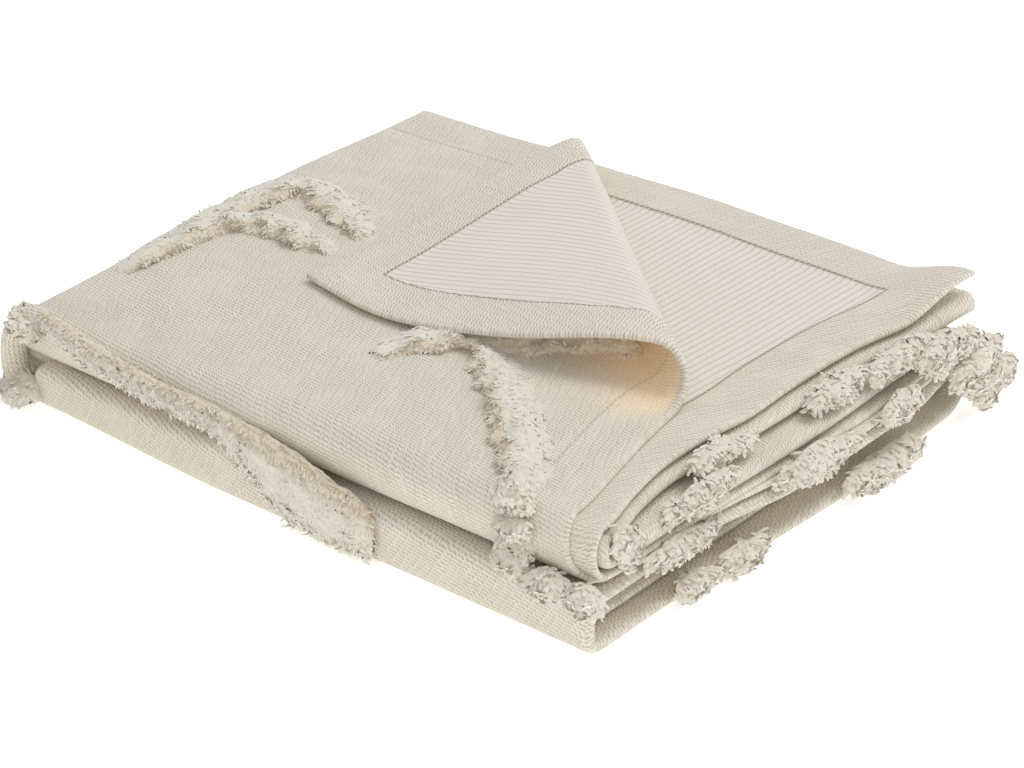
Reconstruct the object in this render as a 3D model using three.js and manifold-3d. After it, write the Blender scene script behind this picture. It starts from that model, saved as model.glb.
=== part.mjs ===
// Cotton blanket with tufted pile, 1.50 m by 1.25 m, folded into sixteen layers with one corner
// turned back. The blanket is one sheet. It was first folded into a strip of four layers, and the
// strip was then folded into four lengths. Millimetres, +Z up, origin under the middle of the stack.
import * as THREE from "three";
import { mergeVertices } from "three/addons/utils/BufferGeometryUtils.js";
import Module from "manifold-3d";

const wasm = await Module();
wasm.setup();

// Cloth
const clothThickness = 2.2;
const hemThickness = 3.2;
const hemWidth = 30;

// The four layers of the strip are counted 1 to 4 from the layer that lies on top of the stack.
// Layers 1 and 4 are joined round the left side, 2 and 3 inside them, and 3 and 4 on the right.
const firstLayer = 1;
const lastLayer = 4;
const middleLayer = 2.5;
const innerTurnInset = 6;
const rightRollDepth = 4.5;
const leftRollRoundness = 0.8;

// The four lengths of the strip: height of layer 1 and step of height from one layer to the next
const lengths = {
  top: { layerOne: 61.6, step: -4.15 },
  upper: { layerOne: 32.4, step: 4.15 },
  floor: { layerOne: 12.89, step: -3.93 },
  inner: { layerOne: 16.9, step: 3.85 },
};
const backEdge = 155;
const upperTurnLine = -143;
const backTurnLine = 133;
const lowerTurnLine = -151;
const innerEnd = 126;

// The way along the folded strip: one unit of v for each length and for each turn between two
const route = [
  { level: lengths.top, from: backEdge, to: upperTurnLine },
  { centre: upperTurnLine, side: -1, reach: 0.95, roundness: 0.86 },
  { level: lengths.upper, from: upperTurnLine, to: backTurnLine },
  { centre: backTurnLine, side: 1, reach: 1, roundness: 0.95 },
  { level: lengths.floor, from: backTurnLine, to: lowerTurnLine },
  { centre: lowerTurnLine, side: -1, reach: 0.78, roundness: 0.42 },
  { level: lengths.inner, from: lowerTurnLine, to: innerEnd },
];

// Sides of the strip along the route: x of the left roll, of the hems of layers 1 and 2, and of
// the roll that joins layers 3 and 4 on the right
const sides = [
  { v: 0.0, left: -184, first: 136, second: 187, roll: 189 },
  { v: 0.14, left: -186, first: 152, second: 181, roll: 186 },
  { v: 0.28, left: -187, first: 157, second: 172, roll: 178 },
  { v: 0.43, left: -187, first: 156, second: 168, roll: 176 },
  { v: 0.57, left: -187, first: 146, second: 169, roll: 175 },
  { v: 0.68, left: -188, first: 142, second: 166, roll: 173 },
  { v: 0.78, left: -188, first: 147, second: 166, roll: 171 },
  { v: 0.88, left: -192, first: 155, second: 171, roll: 175 },
  { v: 1.0, left: -197, first: 164, second: 180, roll: 184 },
  { v: 1.5, left: -199, first: 171, second: 184, roll: 187 },
  { v: 2.0, left: -192, first: 183, second: 186, roll: 188 },
  { v: 2.29, left: -186, first: 186, second: 187, roll: 188 },
  { v: 2.53, left: -185, first: 195, second: 191, roll: 190 },
  { v: 2.73, left: -185, first: 197, second: 193, roll: 190 },
  { v: 3.0, left: -185, first: 191, second: 190, roll: 189 },
  { v: 3.5, left: -183, first: 180, second: 184, roll: 189 },
  { v: 4.0, left: -182, first: 174, second: 178, roll: 192 },
  { v: 4.31, left: -182, first: 174, second: 178, roll: 197 },
  { v: 4.58, left: -182, first: 174, second: 178, roll: 194 },
  { v: 4.82, left: -182, first: 174, second: 178, roll: 190 },
  { v: 5.0, left: -183, first: 174, second: 178, roll: 190 },
  { v: 5.5, left: -184, first: 174, second: 178, roll: 189 },
  { v: 6.0, left: -183, first: 174, second: 178, roll: 188 },
  { v: 6.3, left: -182, first: 174, second: 178, roll: 188 },
  { v: 6.5, left: -183, first: 174, second: 178, roll: 197 },
  { v: 6.89, left: -183, first: 174, second: 178, roll: 198 },
  { v: 7.0, left: -183, first: 174, second: 178, roll: 192 },
];

// The corner of layer 1 that is turned back over the top. The fold runs at foldAngle below +X and
// its loop widens from the back of the stack to the right-hand side.
const foldAngle = THREE.MathUtils.degToRad(40.7);
const foldCrest = 72;
const foldHead = new THREE.Vector2(-68, 152);
const foldLength = 264;
const loopRadiusBack = 7.5;
const loopRadiusRight = 13;
const flapRest = 4.2;
const flapSettles = 125;
const cornerSpread = 0.27;

// The stack is lower and narrower at its left end, higher at its back, and its right-hand corner
// at the back curls up
const leftSink = 0.08;
const cornerSink = 0.17;
const frontInset = 7;
const backLift = 4;
const cornerCurl = 12;

// Helpers
const clamp01 = (t) => Math.min(1, Math.max(0, t));
const lerp = THREE.MathUtils.lerp;
const smooth = (t) => {
  const c = clamp01(t);
  return c * c * (3 - 2 * c);
};
const bulge = (value, roundness) => Math.sign(value) * Math.abs(value) ** roundness;

// Smooth curve through a table's column, read at a place of its key column
function along(table, key, column, at) {
  const last = table.length - 1;
  let i = 0;
  while (i < last - 1 && at > table[i + 1][key]) i += 1;
  const slope = (k) => {
    const a = table[Math.max(0, k - 1)];
    const b = table[Math.min(last, k + 1)];
    return (b[column] - a[column]) / (b[key] - a[key]);
  };
  const a = table[i];
  const b = table[i + 1];
  const span = b[key] - a[key];
  const t = clamp01((at - a[key]) / span);
  const ease = t * t * (3 - 2 * t);
  const lean = slope(i) * span * t * (1 - t) ** 2 - slope(i + 1) * span * t * t * (1 - t);
  return lerp(a[column], b[column], ease) + lean;
}

const side = (name, v) => along(sides, "v", name, v);

const heightOf = (level, layer) => level.layerOne + (layer - firstLayer) * level.step;

// Point of the folded strip at x, on a layer (which may lie between two) and a place v on the route
function stripPoint(x, layer, v) {
  const stage = Math.min(route.length - 1, Math.floor(v));
  const part = v - stage;
  const leg = route[stage];
  if (leg.level) {
    return new THREE.Vector3(x, lerp(leg.from, leg.to, part), heightOf(leg.level, layer));
  }
  const start = heightOf(route[stage - 1].level, layer);
  const end = heightOf(route[stage + 1].level, layer);
  const half = (start - end) / 2;
  const turn = Math.PI * (0.5 - part);
  return new THREE.Vector3(
    x,
    leg.centre + leg.side * leg.reach * Math.abs(half) * bulge(Math.cos(turn), leg.roundness),
    (start + end) / 2 + half * bulge(Math.sin(turn), leg.roundness),
  );
}

// Layer 1 of the top length lies flat up to the fold and turns back beyond it
const foldAlong = new THREE.Vector2(Math.cos(foldAngle), -Math.sin(foldAngle));
const foldAcross = new THREE.Vector2(Math.sin(foldAngle), Math.cos(foldAngle));
const backHemAt = (x) => backEdge + cornerSpread * Math.max(0, x - foldHead.x);
const loopRadius = (s) => lerp(loopRadiusBack, loopRadiusRight, clamp01(s / foldLength));

function foldPlace(x, y) {
  const flat = new THREE.Vector2(x, y);
  const s = flat.clone().sub(foldHead).dot(foldAlong);
  const radius = loopRadius(s);
  return { s, radius, beyond: flat.dot(foldAcross) - (foldCrest - radius) };
}

function topPoint(x, y) {
  const height = heightOf(lengths.top, firstLayer);
  const { radius, beyond } = foldPlace(x, y);
  if (beyond <= 0) return new THREE.Vector3(x, y, height);
  const round = beyond / radius;
  let out = radius * Math.sin(round);
  let rise = radius * (1 - Math.cos(round));
  if (round > Math.PI) {
    const back = beyond - Math.PI * radius;
    out = -back;
    rise = lerp(2 * radius, flapRest, smooth(back / flapSettles));
  }
  const shift = foldAcross.clone().multiplyScalar(out - beyond);
  return new THREE.Vector3(x + shift.x, y + shift.y, height + rise);
}

// The even stack as it really lies: sunk and drawn in at the left, lifted at the back, curled at
// the right-hand corner
function settle(point) {
  const { x, y, z } = point;
  const base = clothThickness / 2;
  const left = 1 - smooth((x + 187) / 230);
  const front = 1 - smooth((y + 157) / 110);
  const tall = 1 - leftSink * left - cornerSink * left * front;
  const lift = backLift * (1 - 1.6 * left) * smooth((y - 20) / 120) * smooth((z - 28) / 28);
  const curl = cornerCurl * smooth((x - 140) / 45) * smooth((y - 100) / 50) * smooth((z - 50) / 8);
  return new THREE.Vector3(
    x,
    y + frontInset * (1 - smooth((x + 187) / 150)) * (1 - smooth((y + 165) / 60)),
    base + (z - base) * tall + lift + curl,
  );
}

// Parts of the section across the strip, in the order in which the sheet runs. Each gives x and
// layer at a share f of its way.
const section = {
  first: (f, v) => ({ x: lerp(side("first", v), leftRollLine(v), f), layer: 1 }),
  leftTurn: (f, v) => leftRoll(f, v, 0, firstLayer, lastLayer),
  fourth: (f, v) => ({ x: lerp(leftRollLine(v), rightRollLine(v), f), layer: 4 }),
  rightTurn: (f, v) => {
    const turn = Math.PI * (f - 0.5);
    return { x: rightRollLine(v) + rightRollDepth * Math.cos(turn), layer: 3.5 - 0.5 * Math.sin(turn) };
  },
  third: (f, v) => ({ x: lerp(rightRollLine(v), innerTurnLine(v), f), layer: 3 }),
  innerTurn: (f, v) => leftRoll(f, v, innerTurnInset, 3, 2),
  second: (f, v) => ({ x: lerp(innerTurnLine(v), side("second", v), f), layer: 2 }),
};
const layerStep = Math.abs(lengths.top.step);
const leftRollReach = (layers) => leftRollRoundness * (layers / 2) * layerStep;
const leftRollLine = (v) => side("left", v) + leftRollReach(lastLayer - firstLayer);
const innerTurnLine = (v) => side("left", v) + innerTurnInset + leftRollReach(1);
const rightRollLine = (v) => side("roll", v) - rightRollDepth;

function leftRoll(f, v, inset, from, to) {
  const layers = Math.abs(to - from);
  const reach = leftRollReach(layers);
  const turn = Math.PI * (0.5 - f);
  return {
    x: side("left", v) + inset + reach * (1 - Math.cos(turn)),
    layer: middleLayer - ((to - from) / 2) * Math.sin(turn),
  };
}

// Point of the sheet: a part of the section, the share of its way and a place on the route
function sheetPoint(part, f, v) {
  const { x, layer } = section[part](f, v);
  if (part !== "first" || v >= 1) return settle(stripPoint(x, layer, v));
  return settle(topPoint(x, lerp(backHemAt(x), upperTurnLine, v)));
}

// Direction that the face of the cloth looks in
function sheetNormal(part, f, v) {
  const step = 0.004;
  const last = route.length;
  const at = (share, place) => sheetPoint(part, clamp01(share), Math.min(last, Math.max(0, place)));
  const alongF = at(f + step, v).sub(at(f - step, v));
  const alongV = at(f, v + step).sub(at(f, v - step));
  return alongF.cross(alongV).normalize();
}

// A sheet is a list of points with thickness, and triangles between them
class Sheet {
  constructor() {
    this.points = [];
    this.triangles = [];
  }

  add(part, f, v, thickness) {
    this.points.push({ at: sheetPoint(part, f, v), normal: sheetNormal(part, f, v), thickness });
    return this.points.length - 1;
  }

  quad(a, b, c, d) {
    const gap = (i, j) => this.points[i].at.distanceTo(this.points[j].at);
    if (gap(a, c) < gap(b, d)) this.triangles.push([a, b, c], [a, c, d]);
    else this.triangles.push([a, b, d], [b, c, d]);
  }

  // Both faces of the cloth, closed by a rim along the edges that only one triangle uses
  solid() {
    const count = this.points.length;
    const positions = [];
    for (const facing of [1, -1]) {
      for (const { at, normal, thickness } of this.points) {
        const place = at.clone().addScaledVector(normal, (facing * thickness) / 2);
        positions.push(place.x, place.y, place.z);
      }
    }
    const edges = new Map();
    const index = [];
    for (const [a, b, c] of this.triangles) {
      index.push(a, b, c, a + count, c + count, b + count);
      for (const [from, to] of [[a, b], [b, c], [c, a]]) edges.set(`${from},${to}`, [from, to]);
    }
    for (const [from, to] of edges.values()) {
      if (edges.has(`${to},${from}`)) continue;
      index.push(to, from, from + count, to, from + count, to + count);
    }
    const mesh = new wasm.Mesh({
      numProp: 3,
      vertProperties: new Float32Array(positions),
      triVerts: new Uint32Array(index),
    });
    return new wasm.Manifold(mesh);
  }
}

// Delaunay triangles of points in a plane, each as three indices that run anticlockwise
function triangulate(points) {
  const far = 1e5;
  const all = [...points, { x: -far, y: -far }, { x: far, y: -far }, { x: 0, y: far }];
  const count = points.length;
  const circle = (a, b, c) => {
    const [p, q, r] = [all[a], all[b], all[c]];
    const twice = 2 * ((q.x - p.x) * (r.y - p.y) - (q.y - p.y) * (r.x - p.x));
    const qq = (q.x - p.x) ** 2 + (q.y - p.y) ** 2;
    const rr = (r.x - p.x) ** 2 + (r.y - p.y) ** 2;
    const x = ((r.y - p.y) * qq - (q.y - p.y) * rr) / twice;
    const y = ((q.x - p.x) * rr - (r.x - p.x) * qq) / twice;
    return { corners: [a, b, c], x: p.x + x, y: p.y + y, square: x * x + y * y };
  };
  let found = [circle(count, count + 1, count + 2)];
  points.forEach((point, index) => {
    const reached = (t) => (point.x - t.x) ** 2 + (point.y - t.y) ** 2 < t.square - 1e-7;
    const broken = found.filter(reached);
    found = found.filter((t) => !reached(t));
    const rim = new Map();
    for (const { corners: [a, b, c] } of broken) {
      for (const [from, to] of [[a, b], [b, c], [c, a]]) rim.set(`${from},${to}`, [from, to]);
    }
    for (const [from, to] of rim.values()) {
      if (!rim.has(`${to},${from}`)) found.push(circle(from, to, index));
    }
  });
  return found.map((t) => t.corners).filter((corners) => corners.every((k) => k < count));
}

// Shares of the way at which the section and the route are cut
const evenly = (count) => Array.from({ length: count }, (_, i) => i / count);
const hemShare = hemWidth / 350;
const sectionCuts = [
  { part: "first", shares: [0, hemShare, 0.24, 0.4, 0.56, 0.74] },
  { part: "leftTurn", shares: evenly(4) },
  { part: "fourth", shares: evenly(5) },
  { part: "rightTurn", shares: evenly(3) },
  { part: "third", shares: evenly(4) },
  { part: "innerTurn", shares: evenly(2) },
  { part: "second", shares: [0, 0.25, 0.5, 0.73, 1 - hemShare, 1] },
];
const routeCuts = [
  { stage: 0, shares: [0, 0.1, 0.24, 0.38, 0.52, 0.64, 0.76, 0.88] },
  { stage: 1, shares: evenly(6) },
  { stage: 2, shares: evenly(6) },
  { stage: 3, shares: evenly(5) },
  { stage: 4, shares: evenly(6) },
  { stage: 5, shares: evenly(5) },
  { stage: 6, shares: [0, 0.18, 0.36, 0.54, 0.72, 0.88, 1] },
];

const columns = sectionCuts.flatMap(({ part, shares }) => shares.map((f) => ({ part, f })));
const rows = routeCuts.flatMap(({ stage, shares }) => shares.map((share) => stage + share));
const turnColumn = columns.findIndex(({ part }) => part === "leftTurn");
const turnRow = rows.indexOf(1);

function thicknessAt(part, f, v) {
  const nearSide = (part === "first" && f < hemShare / 2) || (part === "second" && f > 1 - hemShare / 2);
  const nearEnd = v < 0.04 || v > route.length - 0.04;
  return nearSide || nearEnd ? hemThickness : clothThickness;
}

// All of the sheet but layer 1 of the top length, as a grid
function addGrid(sheet) {
  const inPatch = (i, j) => i < turnColumn && j < turnRow;
  const ids = columns.map(({ part, f }, i) =>
    rows.map((v, j) => (inPatch(i, j) ? -1 : sheet.add(part, f, v, thicknessAt(part, f, v)))),
  );
  for (let i = 0; i + 1 < columns.length; i += 1) {
    for (let j = 0; j + 1 < rows.length; j += 1) {
      const corners = [ids[i][j], ids[i + 1][j], ids[i + 1][j + 1], ids[i][j + 1]];
      if (!inPatch(i, j)) sheet.quad(...corners);
    }
  }
  return ids;
}

// Layer 1 of the top length, cut along rows that follow the fold of its turned-back corner. Rows in
// the loop lie at turns of it, in radians, and rows on the flap lie at millimetres beyond its foot.
const loopCuts = [-0.35, 0, 0.5, 1, 1.5, 2, 2.5, Math.PI, 4.2];
const flapCuts = [52, 85, 118, 151];
const rowSpacing = 27;
const loopSpread = 24;
const leastGap = 9;

const shareOf = (x, y) => {
  const v = (backHemAt(x) - y) / (backHemAt(x) - upperTurnLine);
  const edge = side("first", clamp01(v));
  return { f: (edge - x) / (edge - leftRollLine(clamp01(v))), v };
};

// Place on a row of the fold, s millimetres along it
function rowPlace(s, beyond) {
  const across = foldCrest - loopRadius(s) + beyond;
  const start = foldHead.dot(foldAcross);
  const flat = foldHead.clone().addScaledVector(foldAlong, s).addScaledVector(foldAcross, across - start);
  return shareOf(flat.x, flat.y);
}

// Place in the plane in which the patch is cut into triangles, with the rows of the loop spread out
function spreadPlace(f, v) {
  const x = lerp(side("first", v), leftRollLine(v), f);
  const { s, radius, beyond } = foldPlace(x, lerp(backHemAt(x), upperTurnLine, v));
  const turns = beyond / radius;
  const last = loopCuts.length - 1;
  if (turns <= loopCuts[0]) return { x: s, y: beyond - loopCuts[0] * radius };
  if (turns >= loopCuts[last]) return { x: s, y: loopSpread * last + beyond - loopCuts[last] * radius };
  const k = loopCuts.findLastIndex((cut) => turns >= cut);
  return { x: s, y: loopSpread * (k + (turns - loopCuts[k]) / (loopCuts[k + 1] - loopCuts[k])) };
}

function addPatch(sheet, ids) {
  const flat = [];
  const put = (f, v, id) => {
    const point = { ...spreadPlace(f, v), f, v, id };
    const least = id === undefined ? leastGap : 0.01;
    if (flat.every((q) => Math.hypot(q.x - point.x, q.y - point.y) > least)) flat.push(point);
  };
  for (let j = 0; j <= turnRow; j += 1) put(1, rows[j], ids[turnColumn][j]);
  for (let i = 0; i < turnColumn; i += 1) put(columns[i].f, 1, ids[i][turnRow]);
  put(0, 0);
  const loopRows = loopCuts.map((turns) => ({ turns, flap: 0 }));
  const flapRows = flapCuts.map((flap) => ({ turns: 0, flap }));
  for (const { turns, flap } of [...loopRows, ...flapRows]) {
    const at = (s) => rowPlace(s, turns * loopRadius(s) + flap);
    const inside = (s) => at(s).f >= 0 && at(s).v >= 0;
    const span = Array.from({ length: 561 }, (_, i) => i - 140).filter(inside);
    if (!span.length) continue;
    const [low, high] = [span[0], span[span.length - 1]];
    const steps = Math.max(1, Math.round((high - low) / rowSpacing));
    for (let k = 0; k <= steps; k += 1) {
      const { f, v } = at(lerp(low, high, k / steps));
      put(k === steps ? 0 : f, k === 0 ? 0 : v);
    }
  }
  for (const f of [0, ...columns.slice(1, turnColumn).map((c) => c.f), 0.9]) {
    for (const v of rows.slice(0, turnRow)) {
      const x = lerp(side("first", v), leftRollLine(v), f);
      const { beyond, radius } = foldPlace(x, lerp(backHemAt(x), upperTurnLine, v));
      if (beyond < -0.8 * radius || f === 0 || v === 0) put(f, v);
    }
  }
  const made = flat.map(({ f, v, id }) => id ?? sheet.add("first", f, v, thicknessAt("first", f, v)));
  const outlineSides = ["f", "v"].flatMap((key) => [0, 1].map((edge) => ({ key, edge })));
  const onSide = ({ key, edge }, corners) => corners.every((k) => Math.abs(flat[k][key] - edge) < 1e-9);
  for (const corners of triangulate(flat)) {
    const outside = outlineSides.some((outlineSide) => onSide(outlineSide, corners));
    if (!outside) sheet.triangles.push(corners.map((k) => made[k]));
  }
}

// Ridges of tufted pile on the top, as places along their middle with the width and the height there
const topRidges = {
  leftBack: [
    { at: 0, x: -182, y: -52, wide: 16, tall: 4 },
    { at: 1, x: -180, y: -18, wide: 25, tall: 6 },
    { at: 2, x: -177, y: 14, wide: 27, tall: 7 },
    { at: 3, x: -163, y: 36, wide: 26, tall: 8 },
    { at: 4, x: -137, y: 31, wide: 25, tall: 8 },
    { at: 5, x: -113, y: 19, wide: 22, tall: 7 },
    { at: 6, x: -93, y: 9, wide: 12, tall: 4 },
  ],
  leftFront: [
    { at: 0, x: -181, y: -96, wide: 12, tall: 3 },
    { at: 1, x: -179, y: -74, wide: 20, tall: 6 },
    { at: 2, x: -175, y: -50, wide: 24, tall: 8 },
    { at: 3, x: -168, y: -22, wide: 25, tall: 9 },
    { at: 4, x: -146, y: -8, wide: 25, tall: 9 },
    { at: 5, x: -122, y: -12, wide: 22, tall: 8 },
    { at: 6, x: -97, y: -12, wide: 12, tall: 4 },
  ],
  middle: [
    { at: 0, x: -10, y: -90, wide: 14, tall: 4 },
    { at: 1, x: -3, y: -68, wide: 26, tall: 8 },
    { at: 2, x: 9, y: -51, wide: 30, tall: 10 },
    { at: 3, x: 27, y: -40, wide: 29, tall: 11 },
    { at: 4, x: 48, y: -26, wide: 26, tall: 11 },
    { at: 5, x: 72, y: -11, wide: 22, tall: 11 },
    { at: 6, x: 97, y: 2, wide: 14, tall: 8 },
  ],
  front: [
    { at: 0, x: 31, y: -45, wide: 16, tall: 7 },
    { at: 1, x: 52, y: -62, wide: 24, tall: 8 },
    { at: 2, x: 73, y: -78, wide: 25, tall: 9 },
    { at: 3, x: 92, y: -95, wide: 27, tall: 10 },
    { at: 4, x: 110, y: -113, wide: 26, tall: 9 },
    { at: 5, x: 126, y: -131, wide: 24, tall: 7 },
    { at: 6, x: 134, y: -145, wide: 16, tall: 4 },
  ],
};

// Tufts that stand out between the layers: their middles and their half sizes
const tufts = [
  { x: -189, y: -149, z: 44, wide: 12, deep: 12, tall: 9 },
  { x: -196, y: -151, z: 24, wide: 8, deep: 9, tall: 16 },
  { x: -190, y: -156, z: 8, wide: 13, deep: 11, tall: 9 },
  { x: -173, y: -156, z: 38, wide: 18, deep: 6, tall: 10 },
  { x: -141, y: -158, z: 37, wide: 22, deep: 7, tall: 11 },
  { x: -105, y: -159, z: 35, wide: 23, deep: 7, tall: 10 },
  { x: -70, y: -160, z: 35, wide: 20, deep: 7, tall: 9 },
  { x: -38, y: -162, z: 32, wide: 22, deep: 7, tall: 12 },
  { x: -6, y: -162, z: 25, wide: 23, deep: 7, tall: 14 },
  { x: 24, y: -162, z: 27, wide: 18, deep: 7, tall: 12 },
  { x: 4, y: -164, z: 10, wide: 22, deep: 8, tall: 11 },
  { x: 28, y: -166, z: 7, wide: 20, deep: 8, tall: 8 },
  { x: 141, y: -157, z: 51, wide: 13, deep: 6, tall: 9 },
  { x: 141, y: -160, z: 38, wide: 14, deep: 6, tall: 10 },
  { x: 164, y: -162, z: 32, wide: 16, deep: 7, tall: 8 },
  { x: 185, y: -161, z: 32, wide: 10, deep: 7, tall: 8 },
  { x: 176, y: -46, z: 56, wide: 7, deep: 21, tall: 5 },
  { x: 186, y: -75, z: 49, wide: 7, deep: 24, tall: 7 },
  { x: 187, y: -133, z: 49, wide: 5, deep: 9, tall: 13 },
  { x: 189, y: -95, z: 31, wide: 6, deep: 24, tall: 7 },
  { x: 196, y: 8, z: 34, wide: 7, deep: 30, tall: 9 },
  { x: 181, y: 42, z: 54, wide: 9, deep: 20, tall: 6 },
  { x: 189, y: 86, z: 56, wide: 7, deep: 22, tall: 7 },
  { x: 199, y: 74, z: 37, wide: 6, deep: 15, tall: 8 },
  { x: 194, y: 118, z: 48, wide: 10, deep: 22, tall: 11 },
  { x: 198, y: 143, z: 33, wide: 10, deep: 19, tall: 13 },
  { x: 196, y: 158, z: 16, wide: 11, deep: 19, tall: 15 },
  { x: 193, y: -87, z: 8, wide: 6, deep: 14, tall: 8 },
  { x: 196, y: -51, z: 8, wide: 7, deep: 15, tall: 8 },
  { x: 200, y: 60, z: 9, wide: 9, deep: 30, tall: 9 },
];
const ridgePitch = 13;
const ridgeRoot = 0.3;
const lumpSize = 0.14;
const flapGap = 1.5;
const lowestPile = 0.4;
const ridgeProfile = [
  { x: -1, y: 0 },
  { x: 1, y: 0 },
  { x: 0.94, y: 0.5 },
  { x: 0.6, y: 0.86 },
  { x: 0, y: 1 },
  { x: -0.6, y: 0.86 },
  { x: -0.94, y: 0.5 },
];

// Unevenness of the pile, one factor for every place
const lump = (x, y, z) =>
  1 + lumpSize * (Math.sin(0.31 * x + 0.17 * y + 0.23 * z) + Math.sin(0.13 * x - 0.37 * y + 0.41 * z));

// Height of the middle of layer 1 on the top, and the room over it below the turned-back corner
function topHeight(x, y) {
  const line = leftRollLine(0.5);
  const over = Math.max(0, line - x);
  return settle(new THREE.Vector3(x, y, heightOf(lengths.top, firstLayer))).z - over * over * 0.06;
}

function roomOver(x, y) {
  const { s, radius } = foldPlace(x, y);
  const back = foldCrest - radius - new THREE.Vector2(x, y).dot(foldAcross);
  const { f, v } = rowPlace(s, back + Math.PI * radius);
  if (back > flapSettles + 40 || f < 0 || v < 0) return Infinity;
  return lerp(2 * radius, flapRest, smooth(back / flapSettles)) - clothThickness / 2 - flapGap;
}

// A closed geometry with every corner moved by a function, as a solid
function reshaped(geometry, move) {
  geometry.deleteAttribute("normal");
  geometry.deleteAttribute("uv");
  const merged = mergeVertices(geometry);
  const place = merged.getAttribute("position");
  for (let i = 0; i < place.count; i += 1) {
    const { x, y, z } = move(new THREE.Vector3().fromBufferAttribute(place, i));
    place.setXYZ(i, x, y, z);
  }
  const mesh = new wasm.Mesh({
    numProp: 3,
    vertProperties: new Float32Array(place.array),
    triVerts: new Uint32Array(merged.index.array),
  });
  return new wasm.Manifold(mesh);
}

function topRidge(stations) {
  const last = stations.length - 1;
  const column = (key, at) => along(stations, "at", key, at);
  const middle = (at) => new THREE.Vector2(column("x", at), column("y", at));
  const length = stations.reduce((sum, _, at) => sum + (at ? middle(at).distanceTo(middle(at - 1)) : 0), 0);
  const profile = new THREE.Shape(ridgeProfile.map(({ x, y }) => new THREE.Vector2(x, y)));
  const steps = Math.round(length / ridgePitch);
  const bar = new THREE.ExtrudeGeometry(profile, { depth: 1, steps, bevelEnabled: false });
  return reshaped(bar, (point) => {
    const at = point.z * last;
    const centre = middle(at);
    const aim = middle(Math.min(last, at + 0.05)).sub(middle(Math.max(0, at - 0.05))).normalize();
    const aside = (column("wide", at) / 2) * point.x * lump(centre.x, 40 * point.x, 0);
    const x = centre.x - aim.y * aside;
    const y = centre.y + aim.x * aside;
    const height = Math.min(column("tall", at) * lump(x, y, 0), roomOver(x, y));
    return new THREE.Vector3(x, y, topHeight(x, y) + ridgeRoot + point.y * height);
  });
}

function tuft({ x, y, z, wide, deep, tall }) {
  return reshaped(new THREE.OctahedronGeometry(1, 1), (point) => {
    const uneven = lump(x + 9 * point.x, y + 9 * point.y, z + 9 * point.z);
    point.multiply(new THREE.Vector3(wide, deep, tall)).multiplyScalar(uneven);
    return point.add(new THREE.Vector3(x, y, z)).setZ(Math.max(lowestPile, point.z));
  });
}

const sheet = new Sheet();
addPatch(sheet, addGrid(sheet));
const pile = [...Object.values(topRidges).map(topRidge), ...tufts.map(tuft)];
const whole = pile.reduce((joined, piece) => joined.add(piece), sheet.solid());

// The origin lies under the middle of the box round the whole
function centredGeometry(solid) {
  const { vertProperties, triVerts } = solid.getMesh();
  const geometry = new THREE.BufferGeometry();
  geometry.setAttribute("position", new THREE.BufferAttribute(vertProperties, 3));
  geometry.setIndex(new THREE.BufferAttribute(triVerts, 1));
  geometry.computeBoundingBox();
  const { min, max } = geometry.boundingBox;
  geometry.translate(-(min.x + max.x) / 2, -(min.y + max.y) / 2, -min.z);
  geometry.computeVertexNormals();
  return geometry;
}

const cotton = new THREE.MeshStandardMaterial({ color: 0xddd5c6, roughness: 0.95, metalness: 0 });
const blanket = new THREE.Group();
const body = new THREE.Mesh(centredGeometry(whole), cotton);
body.name = "blanket";
blanket.add(body);

export default blanket;
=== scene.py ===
# %% [markdown]
# # A folded cotton blanket with tufted pile
#
# The blanket is one hemmed piece of ecru cotton, 1.5 m by 1.25 m. It has crepe ribs on its face,
# straight ribs on its whiter reverse, and ridges of cream pile tufted into the face. It is folded
# into sixteen layers, and one corner of the top layer is turned back. All lengths below are in
# millimetres until a mesh is made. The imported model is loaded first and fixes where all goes.

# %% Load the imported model
import math

import bpy
import numpy as np
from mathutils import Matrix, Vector
from mathutils.geometry import delaunay_2d_cdt


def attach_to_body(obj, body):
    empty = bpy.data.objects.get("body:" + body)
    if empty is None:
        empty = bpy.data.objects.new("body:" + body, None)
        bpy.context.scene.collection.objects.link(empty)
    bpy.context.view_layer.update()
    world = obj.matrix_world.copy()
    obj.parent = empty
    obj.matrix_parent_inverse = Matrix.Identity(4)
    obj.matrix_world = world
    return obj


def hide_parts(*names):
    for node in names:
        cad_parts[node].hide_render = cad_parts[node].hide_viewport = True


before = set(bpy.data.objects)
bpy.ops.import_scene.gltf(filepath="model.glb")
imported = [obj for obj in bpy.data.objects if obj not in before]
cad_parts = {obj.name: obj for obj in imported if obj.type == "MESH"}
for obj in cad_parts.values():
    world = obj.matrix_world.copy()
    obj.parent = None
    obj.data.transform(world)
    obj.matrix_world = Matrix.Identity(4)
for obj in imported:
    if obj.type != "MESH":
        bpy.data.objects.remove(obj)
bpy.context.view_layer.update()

# %% [markdown]
# ## Camera
#
# The camera comes first, because all the rest is judged through it. A long lens from about two
# metres off gives the nearly parallel edges that the stack shows. It looks down at 29 degrees from
# the front right-hand corner.

# %% Camera
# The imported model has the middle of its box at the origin, and this is that middle in the
# coordinates in which the cloth is drawn
frame_shift = np.array([3.521, 1.360, 0.0])
view_turn = math.radians(39.3)
view_rise = math.radians(29.3)
view_distance = 2096.0
view_target = np.array([-5.0, 18.0, 0.0]) - frame_shift

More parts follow.
